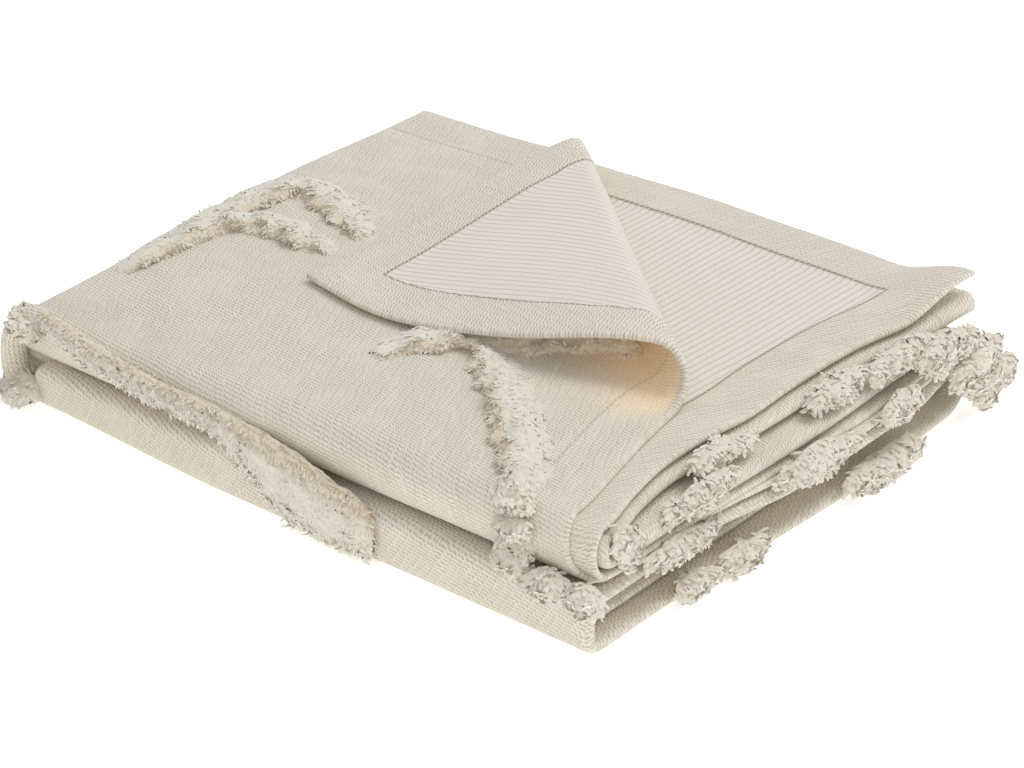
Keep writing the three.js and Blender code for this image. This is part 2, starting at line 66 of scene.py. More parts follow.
away = np.array(
    [
        math.sin(view_turn) * math.cos(view_rise),
        -math.cos(view_turn) * math.cos(view_rise),
        math.sin(view_rise),
    ]
)
camera_data = bpy.data.cameras.new("camera")
camera_data.sensor_width = 36.0
camera_data.lens = 140.6
camera_data.clip_end = 20.0
camera = bpy.data.objects.new("camera", camera_data)
bpy.context.scene.collection.objects.link(camera)
camera.location = Vector((view_target + view_distance * away) / 1000)
camera.rotation_euler = Vector(away).to_track_quat("Z", "Y").to_euler()
bpy.context.scene.camera = camera
print("camera at", tuple(round(c, 3) for c in camera.location))

# %% [markdown]
# ## Sizes of the cloth and of its folds
#
# The sheet was folded twice. Folded four ways along its length it makes a strip of four layers:
# layers 1 and 4 are joined round the left side, 2 and 3 inside them, and 3 and 4 on the right,
# so the hemmed edges of layers 1 and 2 lie on the right. The strip was then folded in four
# lengths, one on the other. These are the sizes of the solid, so the sheet lies where it is.

# %% Sizes of the cloth and of its folds
cloth_thickness = 2.2
hem_thickness = 3.4
hem_width = 30.0

first_layer = 1
last_layer = 4
middle_layer = 2.5
inner_turn_inset = 6.0
right_roll_depth = 4.5
left_roll_roundness = 0.8

lengths = {
    "top": {"layer_one": 61.6, "step": -4.15},
    "upper": {"layer_one": 32.4, "step": 4.15},
    "floor": {"layer_one": 12.89, "step": -3.93},
    "inner": {"layer_one": 16.9, "step": 3.85},
}
back_edge = 155.0
upper_turn_line = -143.0
back_turn_line = 133.0
lower_turn_line = -151.0
inner_end = 126.0

route = [
    {"length": "top", "start": back_edge, "end": upper_turn_line},
    {"centre": upper_turn_line, "side": -1, "reach": 0.95, "roundness": 0.86},
    {"length": "upper", "start": upper_turn_line, "end": back_turn_line},
    {"centre": back_turn_line, "side": 1, "reach": 1.0, "roundness": 0.95},
    {"length": "floor", "start": back_turn_line, "end": lower_turn_line},
    {"centre": lower_turn_line, "side": -1, "reach": 0.78, "roundness": 0.42},
    {"length": "inner", "start": lower_turn_line, "end": inner_end},
]

# %% [markdown]
# The right-hand side is the uneven one. Each row of this table is a place on the way along the
# folded strip, counted in lengths and turns, with the x of the left roll, of the two hemmed edges
# and of the roll that joins layers 3 and 4.

# %% Sides of the strip
side_names = ("way", "left", "first", "second", "roll")
side_rows = [
    (0.0, -184, 136, 187, 189),
    (0.14, -186, 152, 181, 186),
    (0.28, -187, 157, 172, 178),
    (0.43, -187, 156, 168, 176),
    (0.57, -187, 146, 169, 175),
    (0.68, -188, 142, 166, 173),
    (0.78, -188, 147, 166, 171),
    (0.88, -192, 155, 171, 175),
    (1.0, -197, 164, 180, 184),
    (1.5, -199, 171, 184, 187),
    (2.0, -192, 183, 186, 188),
    (2.29, -186, 186, 187, 188),
    (2.53, -185, 195, 191, 190),
    (2.73, -185, 197, 193, 190),
    (3.0, -185, 191, 190, 189),
    (3.5, -183, 180, 184, 189),
    (4.0, -182, 174, 178, 192),
    (4.31, -182, 174, 178, 197),
    (4.58, -182, 174, 178, 194),
    (4.82, -182, 174, 178, 190),
    (5.0, -183, 174, 178, 190),
    (5.5, -184, 174, 178, 189),
    (6.0, -183, 174, 178, 188),
    (6.3, -182, 174, 178, 188),
    (6.5, -183, 174, 178, 197),
    (6.89, -183, 174, 178, 198),
    (7.0, -183, 174, 178, 192),
]
sides = {name: np.array(column, float) for name, column in zip(side_names, zip(*side_rows))}


def smooth(t):
    c = np.clip(t, 0.0, 1.0)
    return c * c * (3 - 2 * c)


def lerp(a, b, t):
    return a + (b - a) * t


def along(table, key, name, at):
    """Smooth curve through a column of a table, read at places of its key column."""
    keys, values = table[key], table[name]
    at = np.asarray(at, float)
    last = len(keys) - 1
    low = np.clip(np.searchsorted(keys, at, side="right") - 1, 0, last - 1)
    before = np.maximum(np.arange(last + 1) - 1, 0)
    after = np.minimum(np.arange(last + 1) + 1, last)
    slope = (values[after] - values[before]) / (keys[after] - keys[before])
    span = keys[low + 1] - keys[low]
    t = np.clip((at - keys[low]) / span, 0.0, 1.0)
    lean = slope[low] * span * t * (1 - t) ** 2 - slope[low + 1] * span * t * t * (1 - t)
    return lerp(values[low], values[low + 1], t * t * (3 - 2 * t)) + lean


def side(name, way):
    return along(sides, "way", name, way)


print("sides of the strip:", len(side_rows), "places")

# %% [markdown]
# ## Lie of the cloth
#
# These functions turn a place on the cloth into a point in space. A place along the strip is on a
# flat length or in a round turn between two. The top layer also has its corner turned back over a
# loop that widens from the back of the stack to the right-hand side. Last, the stack settles: it
# sinks at the left, lifts at the back, and its right-hand corner curls up.

# %% Lie of the cloth
fold_angle = math.radians(40.7)
fold_crest = 72.0
fold_head = np.array([-68.0, 152.0])
fold_length = 264.0
loop_radius_back = 7.5
loop_radius_right = 13.0
flap_rest = 4.2
flap_settles = 125.0
corner_spread = 0.27

left_sink = 0.08
corner_sink = 0.17
front_inset = 7.0
back_lift = 4.0
corner_curl = 12.0
undulation = 0.7

fold_along = np.array([math.cos(fold_angle), -math.sin(fold_angle)])
fold_across = np.array([math.sin(fold_angle), math.cos(fold_angle)])


def height_of(length, layer):
    return lengths[length]["layer_one"] + (layer - first_layer) * lengths[length]["step"]


def bulge(value, roundness):
    return np.sign(value) * np.abs(value) ** roundness


def strip_point(x, layer, way):
    """Points of the folded strip at x, on a layer and a place on the way."""
    x, layer, way = np.broadcast_arrays(*(np.asarray(a, float) for a in (x, layer, way)))
    y, z = np.zeros(x.shape), np.zeros(x.shape)
    stage = np.clip(np.floor(way).astype(int), 0, len(route) - 1)
    for number, leg in enumerate(route):
        here = stage == number
        part = way[here] - number
        if "length" in leg:
            y[here] = lerp(leg["start"], leg["end"], part)
            z[here] = height_of(leg["length"], layer[here])
            continue
        start = height_of(route[number - 1]["length"], layer[here])
        end = height_of(route[number + 1]["length"], layer[here])
        half = (start - end) / 2
        turn = np.pi * (0.5 - part)
        out = leg["reach"] * np.abs(half) * bulge(np.cos(turn), leg["roundness"])
        y[here] = leg["centre"] + leg["side"] * out
        z[here] = (start + end) / 2 + half * bulge(np.sin(turn), leg["roundness"])
    return np.stack([x, y, z], -1)


def back_hem(x):
    return back_edge + corner_spread * np.maximum(0.0, x - fold_head[0])


def loop_radius(s):
    return lerp(loop_radius_back, loop_radius_right, np.clip(s / fold_length, 0.0, 1.0))


def fold_place(x, y):
    """Place along the fold, the loop's radius there and the distance beyond the loop's foot."""
    s = (x - fold_head[0]) * fold_along[0] + (y - fold_head[1]) * fold_along[1]
    radius = loop_radius(s)
    return s, radius, x * fold_across[0] + y * fold_across[1] - (fold_crest - radius)


def top_point(x, y):
    """Points of layer 1 on the top, with its corner turned back."""
    height = height_of("top", first_layer)
    _, radius, beyond = fold_place(x, y)
    turn = np.clip(beyond / radius, 0.0, np.pi)
    back = np.maximum(0.0, beyond - np.pi * radius)
    out = np.where(beyond <= 0, beyond, radius * np.sin(turn) - back)
    fall = lerp(2 * radius, flap_rest, smooth(back / flap_settles))
    rise = np.where(back > 0, fall, radius * (1 - np.cos(turn)))
    shift = out - beyond
    return np.stack([x + fold_across[0] * shift, y + fold_across[1] * shift, height + rise], -1)


def ripple(x, y):
    """Low, uneven swell of soft cloth, from -1 to 1."""
    return (
        0.42 * np.sin(0.031 * x + 0.022 * y + 0.6)
        + 0.33 * np.sin(-0.024 * x + 0.047 * y + 2.1)
        + 0.25 * np.sin(0.071 * x + 0.058 * y + 4.0)
    )


def settle(points):
    """The even stack as it really lies."""
    x, y, z = points[..., 0], points[..., 1], points[..., 2]
    base = cloth_thickness / 2
    left = 1 - smooth((x + 187) / 230)
    front = 1 - smooth((y + 157) / 110)
    tall = 1 - left_sink * left - corner_sink * left * front
    lift = back_lift * (1 - 1.6 * left) * smooth((y - 20) / 120) * smooth((z - 28) / 28)
    curl = corner_curl * smooth((x - 140) / 45) * smooth((y - 100) / 50) * smooth((z - 50) / 8)
    swell = undulation * ripple(x, y) * smooth((z - 12) / 50)
    inset = front_inset * (1 - smooth((x + 187) / 150)) * (1 - smooth((y + 165) / 60))
    return np.stack([x, y + inset, base + (z - base) * tall + lift + curl + swell], -1)


# %% [markdown]
# Across the strip the sheet runs from the hem of layer 1, over the left roll to layer 4, round the
# right-hand roll to layer 3, round the inner roll and back along layer 2 to its hem. Each part of
# that section gives x and a layer at a share of its way.

# %% Section across the strip
layer_step = abs(lengths["top"]["step"])


def left_roll_reach(layers):
    return left_roll_roundness * (layers / 2) * layer_step


def left_roll_line(way):
    return side("left", way) + left_roll_reach(last_layer - first_layer)


def inner_turn_line(way):
    return side("left", way) + inner_turn_inset + left_roll_reach(1)


def right_roll_line(way):
    return side("roll", way) - right_roll_depth


def left_roll(f, way, inset, start, end):
    turn = np.pi * (0.5 - f)
    x = side("left", way) + inset + left_roll_reach(abs(end - start)) * (1 - np.cos(turn))
    return x, middle_layer - ((end - start) / 2) * np.sin(turn)


def right_roll(f, way):
    turn = np.pi * (f - 0.5)
    return right_roll_line(way) + right_roll_depth * np.cos(turn), 3.5 - 0.5 * np.sin(turn)


section = {
    "first": lambda f, way: (lerp(side("first", way), left_roll_line(way), f), 1),
    "left_turn": lambda f, way: left_roll(f, way, 0.0, first_layer, last_layer),
    "fourth": lambda f, way: (lerp(left_roll_line(way), right_roll_line(way), f), 4),
    "right_turn": right_roll,
    "third": lambda f, way: (lerp(right_roll_line(way), inner_turn_line(way), f), 3),
    "inner_turn": lambda f, way: left_roll(f, way, inner_turn_inset, 3, 2),
    "second": lambda f, way: (lerp(inner_turn_line(way), side("second", way), f), 2),
}


def sheet_points(part, f, way):
    x, layer = section[part](f, way)
    lying = strip_point(x, layer, way)
    if part == "first":
        on_top = way < 1
        flat_y = lerp(back_hem(x), upper_turn_line, np.minimum(way, 1.0))
        lying = np.where(on_top[..., None], top_point(x, flat_y), lying)
    return settle(lying)


print("section parts:", ", ".join(section))

# %% [markdown]
# ## The sheet
#
# One sheet of cloth is made in code: a grid over the whole of it, fine where it shows and coarser
# inside the stack. The layer on the top can't use that grid, because its fold runs slantwise, so
# its rows follow the fold. Those points are joined by Delaunay triangles in a plane in which the
# narrow loop is spread out. Each point keeps its place on the flat cloth as an attribute, so that
# ribs and hems follow the folds.

# %% Grid over the sheet
rib_origin = 160.0
second_ribs_start = 1000.0
reverse_slant = 0.08
section_steps = {
    "first": 72,
    "left_turn": 12,
    "fourth": 34,
    "right_turn": 8,
    "third": 26,
    "inner_turn": 5,
    "second": 66,
}
route_steps = [64, 16, 36, 12, 26, 14, 30]

columns = [(part, k / n) for part, n in section_steps.items() for k in range(n)] + [("second", 1.0)]
rows = [stage + k / n for stage, n in enumerate(route_steps) for k in range(n)] + [len(route_steps)]
turn_column = section_steps["first"]
turn_row = route_steps[0]
rows = np.array(rows, float)

grid = np.zeros((len(columns), len(rows), 3))
for part in section:
    picked = [i for i, (name, _) in enumerate(columns) if name == part]
    shares = np.array([columns[i][1] for i in picked])
    f, way = np.meshgrid(shares, rows, indexing="ij")
    grid[picked] = sheet_points(part, f, way)

# Lengths along the cloth, from the hem of layer 1 across the strip and from its back hem along it
steps_across = np.linalg.norm(np.diff(grid, axis=0), axis=-1)
across = np.zeros(grid.shape[:2])
across[1:] = np.cumsum(steps_across, axis=0)
across[:, rows < 1] += (side("first", rows) - left_roll_line(rows) - across[turn_column])[rows < 1]
steps_along = np.linalg.norm(np.diff(grid, axis=1), axis=-1)
lengthwise = np.zeros(grid.shape[:2])
lengthwise[:, 1:] = np.cumsum(steps_along, axis=1)
hem_lengths = back_hem(grid[:turn_column, turn_row, 0]) - upper_turn_line
lengthwise[:turn_column, turn_row:] += (hem_lengths - lengthwise[:turn_column, turn_row])[:, None]

# The ribs keep to straight lines of the stack, so a wavy edge doesn't bend them
second_start = len(columns) - 1 - section_steps["second"]
rib_across = across - across[turn_column] + rib_origin - left_roll_line(rows)
second_x, second_y = grid[second_start:, :, 0], grid[second_start:, :, 1]
rib_across[second_start:] = second_ribs_start + second_x - reverse_slant * second_y
rib_along = lengthwise - lengthwise[:, turn_row][:, None] + back_edge - upper_turn_line
rib_along[:, rows < 1] = (back_edge - upper_turn_line) * rows[rows < 1]

to_hem = np.minimum.reduce(
    [
        across,
        across[-1][None, :] - across,
        lengthwise,
        lengthwise[:, -1][:, None] - lengthwise,
    ]
)
print("grid of", grid.shape[:2], "points, cloth", across[-1].mean().round(), "by", lengthwise[-1, -1].round())

# %% [markdown]
# The top layer: rows at turns of the loop and at distances over the flap, cut to the outline of
# the layer. Its two inner edges take the grid's own points, so that the sheet stays in one piece.

# %% Top layer with its corner turned back
loop_cuts = np.concatenate([[-0.35, 0.0], np.linspace(0.25, np.pi, 12), [3.5, 4.2]])
flap_first = 60.0
flap_last = 175.0
row_pitch = 4.6
loop_spread = 4.4
flat_pitch = 4.6
loop_margin = 0.004
flat_margin = 0.012
thinning_cell = 2.0
least_gap = 1.9


def share_of(x, y):
    way = (back_hem(x) - y) / (back_hem(x) - upper_turn_line)
    edge = side("first", np.clip(way, 0, 1))
    return (edge - x) / (edge - left_roll_line(np.clip(way, 0, 1))), way


def row_place(s, beyond):
    across_fold = fold_crest - loop_radius(s) + beyond - fold_head @ fold_across
    x = fold_head[0] + fold_along[0] * s + fold_across[0] * across_fold
    y = fold_head[1] + fold_along[1] * s + fold_across[1] * across_fold
    return share_of(x, y)


def flat_place(f, way):
    x = lerp(side("first", way), left_roll_line(way), f)
    return x, lerp(back_hem(x), upper_turn_line, way)


def spread_place(f, way):
    s, radius, beyond = fold_place(*flat_place(f, way))
    turns = beyond / radius
    last = len(loop_cuts) - 1
    inside = loop_spread * np.interp(turns, loop_cuts, np.arange(last + 1))
    before = beyond - loop_cuts[0] * radius
    after = loop_spread * last + beyond - loop_cuts[-1] * radius
    y = np.where(turns < loop_cuts[0], before, np.where(turns > loop_cuts[-1], after, inside))
    return np.stack([s, y], -1)


patch = []


def put(f, way, grid_index=-1):
    f, way = np.atleast_1d(np.asarray(f, float)), np.atleast_1d(np.asarray(way, float))
    f, way = np.broadcast_arrays(f, way)
    index = np.broadcast_to(grid_index, f.shape)
    patch.append(np.stack([f, way, index], -1).reshape(-1, 3))


grid_number = np.arange(grid.shape[0] * grid.shape[1]).reshape(grid.shape[:2])
put(1.0, rows[: turn_row + 1], grid_number[turn_column, : turn_row + 1])
put([columns[i][1] for i in range(turn_column)], 1.0, grid_number[:turn_column, turn_row])
edge_rows = rows[:turn_row]
put(0.0, edge_rows)
edge_shares = np.array([columns[i][1] for i in range(1, turn_column)])
put(edge_shares, 0.0)

reach = np.arange(-140.0, 421.0, 0.5)


def put_row(beyond_of, low, high):
    """A row of points along the fold, where it lies between two shares of the layer."""
    f, way = row_place(reach, beyond_of(reach))
    held = reach[(f > low) & (way > low) & (f < high) & (way < high)]
    if len(held):
        s = np.linspace(held[0], held[-1], max(2, round((held[-1] - held[0]) / row_pitch)))
        put(*row_place(s, beyond_of(s)))


for turns in loop_cuts:
    put_row(lambda s: turns * loop_radius(s), loop_margin, 1 - loop_margin)
for beyond in np.arange(flap_first, flap_last, row_pitch):
    put_row(lambda s: beyond, flat_margin, np.inf)
for x in np.arange(-180.0, 160.0, flat_pitch):
    y = np.arange(upper_turn_line + 3, back_edge - 3, flat_pitch)
    f, way = share_of(np.full(y.shape, x), y)
    _, radius, beyond = fold_place(np.full(y.shape, x), y)
    kept = (f > flat_margin) & (f < 0.99) & (way > flat_margin) & (way < 0.99) & (beyond < -0.8 * radius)
    put(f[kept], way[kept])

# Of inner points that nearly meet, only the first one stays
patch = np.concatenate(patch)
plane = spread_place(patch[:, 0], patch[:, 1])
cells, first_of = {}, []
for number, (place, known) in enumerate(zip(plane, patch[:, 2])):
    cell = (round(place[0] / thinning_cell), round(place[1] / thinning_cell))
    near = [cells.get((cell[0] + a, cell[1] + b)) for a in (-1, 0, 1) for b in (-1, 0, 1)]
    gaps = [np.hypot(*(plane[k] - place)) for k in near if k is not None]
    inner = known < 0 and patch[number, 0] > 0 and patch[number, 1] > 0
    if inner and gaps and min(gaps) < least_gap:
        continue
    cells[cell] = number
    first_of.append(number)
patch, plane = patch[first_of], plane[first_of]

made = delaunay_2d_cdt([Vector(p) for p in plane.tolist()], [], [], 0, 1e-7)
triangles = np.array([face for face in made[2] if len(face) == 3])
source = np.array([ids[0] for ids in made[3]])
triangles = source[triangles]
on_edge = np.stack([patch[:, 0] <= 0, patch[:, 0] >= 1, patch[:, 1] <= 0, patch[:, 1] >= 1])
outside = on_edge[:, triangles].all(axis=2).any(axis=0)
triangles = triangles[~outside]
print("top layer:", len(patch), "points,", len(triangles), "triangles")

# %% [markdown]
# The grid and the top layer become one mesh. Every point gets the direction that its face of the
# cloth looks in, and the two faces are set half a thickness to either side of it. Where the hem
# is turned under, the cloth is thicker on its reverse. A round rim closes the hemmed edges.

# %% Sheet with its thickness
rim_steps = 3


def attach(mesh, name, values):
    layer = mesh.attributes.new(name, "FLOAT_VECTOR", "POINT")
    layer.data.foreach_set("vector", np.asarray(values, np.float32).ravel())


def unit(vectors):
    return vectors / (np.linalg.norm(vectors, axis=-1, keepdims=True) + 1e-12)


def point_normals(points, triangles):
    corner = points[triangles]
    facing = np.cross(corner[:, 1] - corner[:, 0], corner[:, 2] - corner[:, 0])
    normals = np.zeros_like(points)
    for k in range(3):
        np.add.at(normals, triangles[:, k], facing)
    return unit(normals)


def new_piece(name, points, faces, materials, numbers=None):
    """A mesh object from points in millimetres, smooth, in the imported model's frame."""
    mesh = bpy.data.meshes.new(name)
    mesh.from_pydata(((np.asarray(points) - frame_shift) / 1000).tolist(), [], faces)
    for material in materials:
        mesh.materials.append(material)
    if numbers is not None:
        mesh.polygons.foreach_set("material_index", np.asarray(numbers, np.int32))
    mesh.polygons.foreach_set("use_smooth", np.ones(len(mesh.polygons), bool))
    mesh.update()
    piece = bpy.data.objects.new(name, mesh)
    bpy.context.scene.collection.objects.link(piece)
    return piece


in_grid = np.ones(grid.shape[:2], bool)
in_grid[:turn_column, :turn_row] = False
new_number = -np.ones(grid.shape[0] * grid.shape[1], int)
new_number[in_grid.ravel()] = np.arange(in_grid.sum())

own = patch[:, 2] < 0
patch_number = np.where(own, in_grid.sum() + np.cumsum(own) - 1, 0)
patch_number[~own] = new_number[patch[~own, 2].astype(int)]

patch_points = sheet_points("first", patch[own, 0], np.minimum(patch[own, 1], 1 - 1e-9))
flat_x, flat_y = flat_place(patch[own, 0], patch[own, 1])
patch_hem = np.minimum(side("first", patch[own, 1]) - flat_x, back_hem(flat_x) - flat_y)
points = np.concatenate([grid[in_grid], patch_points])
on_cloth = np.concatenate(
    [
        np.stack([rib_across, rib_along, to_hem], -1)[in_grid],
        np.stack([rib_origin - flat_x, back_edge - flat_y, patch_hem], -1),
    ]
)

cell = np.stack(
    [grid_number[:-1, :-1], grid_number[1:, :-1], grid_number[1:, 1:], grid_number[:-1, 1:]], -1
)
cell_kept = np.ones(cell.shape[:2], bool)
cell_kept[:turn_column, :turn_row] = False
quads = new_number[cell[cell_kept]]
top_triangles = patch_number[triangles]
all_triangles = np.concatenate([quads[:, [0, 1, 2]], quads[:, [0, 2, 3]], top_triangles])

normals = point_normals(points, all_triangles)

edges = [quads[:, [k, (k + 1) % 4]] for k in range(4)]
edges = np.concatenate(edges + [top_triangles[:, [k, (k + 1) % 3]] for k in range(3)])
edge_keys = {(a, b) for a, b in edges.tolist()}
rim_edges = np.array([(a, b) for a, b in edge_keys if (b, a) not in edge_keys])

extra = (hem_thickness - cloth_thickness) * smooth((hem_width + 1.5 - on_cloth[:, 2]) / 3.5)
face_side = points + normals * (cloth_thickness / 2)
reverse_side = points - normals * (cloth_thickness / 2 + extra)[:, None]

rim_points = np.unique(rim_edges)
outward = np.zeros_like(points)
edge_out = np.cross(points[rim_edges[:, 1]] - points[rim_edges[:, 0]], normals[rim_edges[:, 0]])
edge_out /= np.linalg.norm(edge_out, axis=1, keepdims=True)
for k in range(2):
    np.add.at(outward, rim_edges[:, k], edge_out)
outward /= np.linalg.norm(outward, axis=1, keepdims=True) + 1e-12
rim_middle = (face_side[rim_points] + reverse_side[rim_points]) / 2
rim_half = (face_side[rim_points] - reverse_side[rim_points]) / 2
rim_radius = np.linalg.norm(rim_half, axis=1, keepdims=True)
rings = [face_side[rim_points]]
for k in range(1, rim_steps + 1):
    turn = np.pi * k / (rim_steps + 1)
    rings.append(rim_middle + np.cos(turn) * rim_half + np.sin(turn) * rim_radius * outward[rim_points])

count = len(points)
rim_place = -np.ones(count, int)
rim_place[rim_points] = np.arange(len(rim_points))
first_ring = 2 * count + np.arange(len(rim_points))
ring_number = [rim_points] + [first_ring + k * len(rim_points) for k in range(rim_steps)]
ring_number.append(rim_points + count)
rim_faces = []
for near, far in zip(ring_number[:-1], ring_number[1:]):
    a, b = rim_place[rim_edges[:, 0]], rim_place[rim_edges[:, 1]]
    rim_faces.append(np.stack([near[b], near[a], far[a], far[b]], -1))
rim_faces = np.concatenate(rim_faces)

sheet_faces = (
    quads.tolist()
    + top_triangles.tolist()
    + (quads[:, ::-1] + count).tolist()
    + (top_triangles[:, ::-1] + count).tolist()
    + rim_faces.tolist()
)
one_side = len(quads) + len(top_triangles)
sheet_materials = np.repeat([0, 1, 0], [one_side, one_side, len(rim_faces)])
sheet_mesh_points = np.concatenate([face_side, reverse_side] + rings[1:])
sheet_on_cloth = np.concatenate([on_cloth, on_cloth] + [on_cloth[rim_points]] * rim_steps)
print("sheet:", len(sheet_mesh_points), "points,", len(sheet_faces), "faces,", len(rim_edges), "rim edges")

# %% [markdown]
# ## Finishes
#
# Two small helpers keep the material code short. A Number wraps a socket, and arithmetic on it
# adds Math nodes. A Finish is one material, and its node method adds any other node.

# %% Helpers for finishes


class Number:
    """A number inside a finish, with arithmetic that adds Math nodes."""

    def __init__(self, finish, socket):
        self.finish = finish
        self.socket = socket

    def math(self, operation, *values):
        return self.finish.node("ShaderNodeMath", {"operation": operation}, dict(enumerate(values)))

    def __add__(self, other):
        return self.math("ADD", self, other)

    def __sub__(self, other):
        return self.math("SUBTRACT", self, other)

    def __mul__(self, other):
        return self.math("MULTIPLY", self, other)

    def __rsub__(self, other):
        return self.math("SUBTRACT", other, self)

    __radd__ = __add__
    __rmul__ = __mul__

    def between(self, low, high):
        """From 0 at low to 1 at high, smoothly, clamped."""
        settings = {"interpolation_type": "SMOOTHSTEP"}
        return self.finish.node("ShaderNodeMapRange", settings, {0: self, 1: low, 2: high, 3: 0.0, 4: 1.0})

    def sine(self):
        return self.math("SINE", self)

    def size(self):
        return self.math("ABSOLUTE", self)

    def most(self, other):
        return self.math("MAXIMUM", self, other)


class Finish:
    """A material made of nodes, with its shader and what changes over the surface."""

    def __init__(self, name, **fixed):
        self.material = bpy.data.materials.new(name)
        self.material.use_nodes = True
        self.tree = self.material.node_tree
        self.shader = self.tree.nodes["Principled BSDF"]
        for socket, value in fixed.items():
            self.shader.inputs[socket.replace("_", " ")].default_value = value

    def node(self, kind, settings=None, sockets=None, output=0):
        made = self.tree.nodes.new(kind)
        for name, value in (settings or {}).items():
            setattr(made, name, value)
        for name, value in (sockets or {}).items():
            self.link(made.inputs[name], value)
        return Number(self, made.outputs[output])

    def link(self, socket, value):
        if isinstance(value, Number):
            self.tree.links.new(value.socket, socket)
        else:
            socket.default_value = value

    def attribute(self, name):
        vector = self.node("ShaderNodeAttribute", {"attribute_name": name}, output=1)
        split = self.node("ShaderNodeSeparateXYZ", sockets={0: vector})
        outputs = split.socket.node.outputs
        return vector, [Number(self, outputs[k]) for k in range(3)]

    def noise(self, vector, size, detail=2.0, rough=0.5):
        sockets = {"Vector": vector, "Scale": 1 / size, "Detail": detail, "Roughness": rough}
        return self.node("ShaderNodeTexNoise", {}, sockets)

    def blend(self, factor, first, second):
        return self.node("ShaderNodeMix", {"data_type": "RGBA"}, {0: factor, 6: first, 7: second}, 2)

    def surface(self, socket, value):
        self.link(self.shader.inputs[socket], value)

    def relief(self, height, depth):
        bump = self.node("ShaderNodeBump", {}, {"Height": height, "Distance": depth / 1000, "Strength": 1.0})
        self.surface("Normal", bump)


def colour(red, green, blue):
    """A colour from screen values of 0 to 255."""
    linear = [((c / 255 + 0.055) / 1.055) ** 2.4 for c in (red, green, blue)]
    return (*linear, 1.0)


print("finish helpers ready")

# %% [markdown]
# ### Crepe face and ribbed reverse
#
# The face has fine wavy ribs that run across the strip, broken and uneven as crepe is, with dark
# seed flecks here and there. The reverse is whiter, with straight ribs the other way. Both
# patterns are drawn on the flat cloth's own lengths, so they bend round each fold. Within 30 mm of
# an edge the reverse shows the turned-under face, and a line of stitches ends it.

# %% Crepe face and ribbed reverse
rib_pitch = 2.15
rib_slant = 0.11
wave_length = 5.6
reverse_pitch = 4.36
stitch_pitch = 3.4
stitch_from_edge = 28.5
pocket_depth = 50.0
pocket_start = 20.0
pocket_end = 297.0
pocket_start_fade = 40.0
pocket_end_fade = 22.0
pocket_falloff = 1.5
rim_free = 3.0

# The groove colours darken the hollows between the ribs: painted shade there, besides the bump
ecru = colour(234, 226, 213)
ecru_groove = colour(204, 191, 170)
white_cotton = colour(232, 226, 216)
white_groove = colour(198, 186, 168)
stitch_shade = colour(160, 134, 100)
fleck_shade = colour(104, 78, 54)
uneven_shade = colour(214, 200, 176)
# Painted light in the pocket under the turned-back corner: a warm tint of the cloth's colour and a faint glow
painted_pocket_tint = colour(255, 222, 166)
painted_pocket_glow = colour(255, 222, 180)
painted_pocket_tint_share = 0.45
painted_pocket_glow_power = 0.09
black = colour(0, 0, 0)


# This places the painted light on the cloth and the painted shade on the pile in the pocket
def pocket_share(points):
    """How far points lie in the pocket under the turned-back corner, from 0 to 1."""
    along_fold, _, beyond = fold_place(points[..., 0], points[..., 1])
    past_start = smooth((along_fold - pocket_start) / pocket_start_fade)
    before_end = smooth((pocket_end - along_fold) / pocket_end_fade)
    return smooth(1 + beyond / pocket_depth) ** pocket_falloff * (past_start * before_end)


def crepe(finish, vector, across, along_cloth):
    """Height of the crepe ribs from 0 to 1."""
    drift = finish.noise(vector, 16.0)
    grain = finish.noise(vector, 1.4, detail=2.0, rough=0.7)
    slope = along_cloth * 0.4 - (along_cloth - 750).most(0.0) * 1.0
    wave = (across + slope) * (2 * math.pi / wave_length) + drift * 9.0
    ribs = (along_cloth + across * rib_slant) * (2 * math.pi / rib_pitch) + drift * 6.0 + grain * 1.9
    straight = ribs.sine() + (ribs - wave * 2 + 2.0).sine() * 0.25
    slanted = (ribs + wave + 1.0).sine() * 0.5 + (ribs + wave * 2).sine() * 0.85
    plain = finish.noise(vector, 25.0, detail=1.0).between(0.35, 0.7)
    worn = (straight + slanted).between(-1.9, 0.9) * (0.95 - plain * 0.25) + plain * 0.2
    return worn + grain * 0.9 - 0.45


def reverse_ribs(finish, vector, across, along_cloth):
    """Height of the straight ribs of the reverse from 0 to 1."""
    drift = finish.noise(vector, 30.0)
    grain = finish.noise(vector, 1.2, detail=1.0)
    phase = across * (2 * math.pi / reverse_pitch) + drift * 2.5 + grain * 0.5
    groove = phase.sine().between(-1.0, -0.55) * 0.62 + (phase * 2.0).sine().between(-1.0, -0.2) * 0.38
    return groove * 0.9 + grain * 0.3 - 0.1


def flecks(finish, vector):
    """1 on a few small seed flecks."""
    cells = {"Vector": vector, "Scale": 1 / 17.0}
    near = finish.node("ShaderNodeTexVoronoi", {}, cells, 0)
    kind = finish.node("ShaderNodeTexVoronoi", {}, cells, 1)
    chance = finish.node("ShaderNodeSeparateColor", {}, {0: kind})
    return (1 - near.between(0.018, 0.034)) * chance.between(0.45, 0.5)


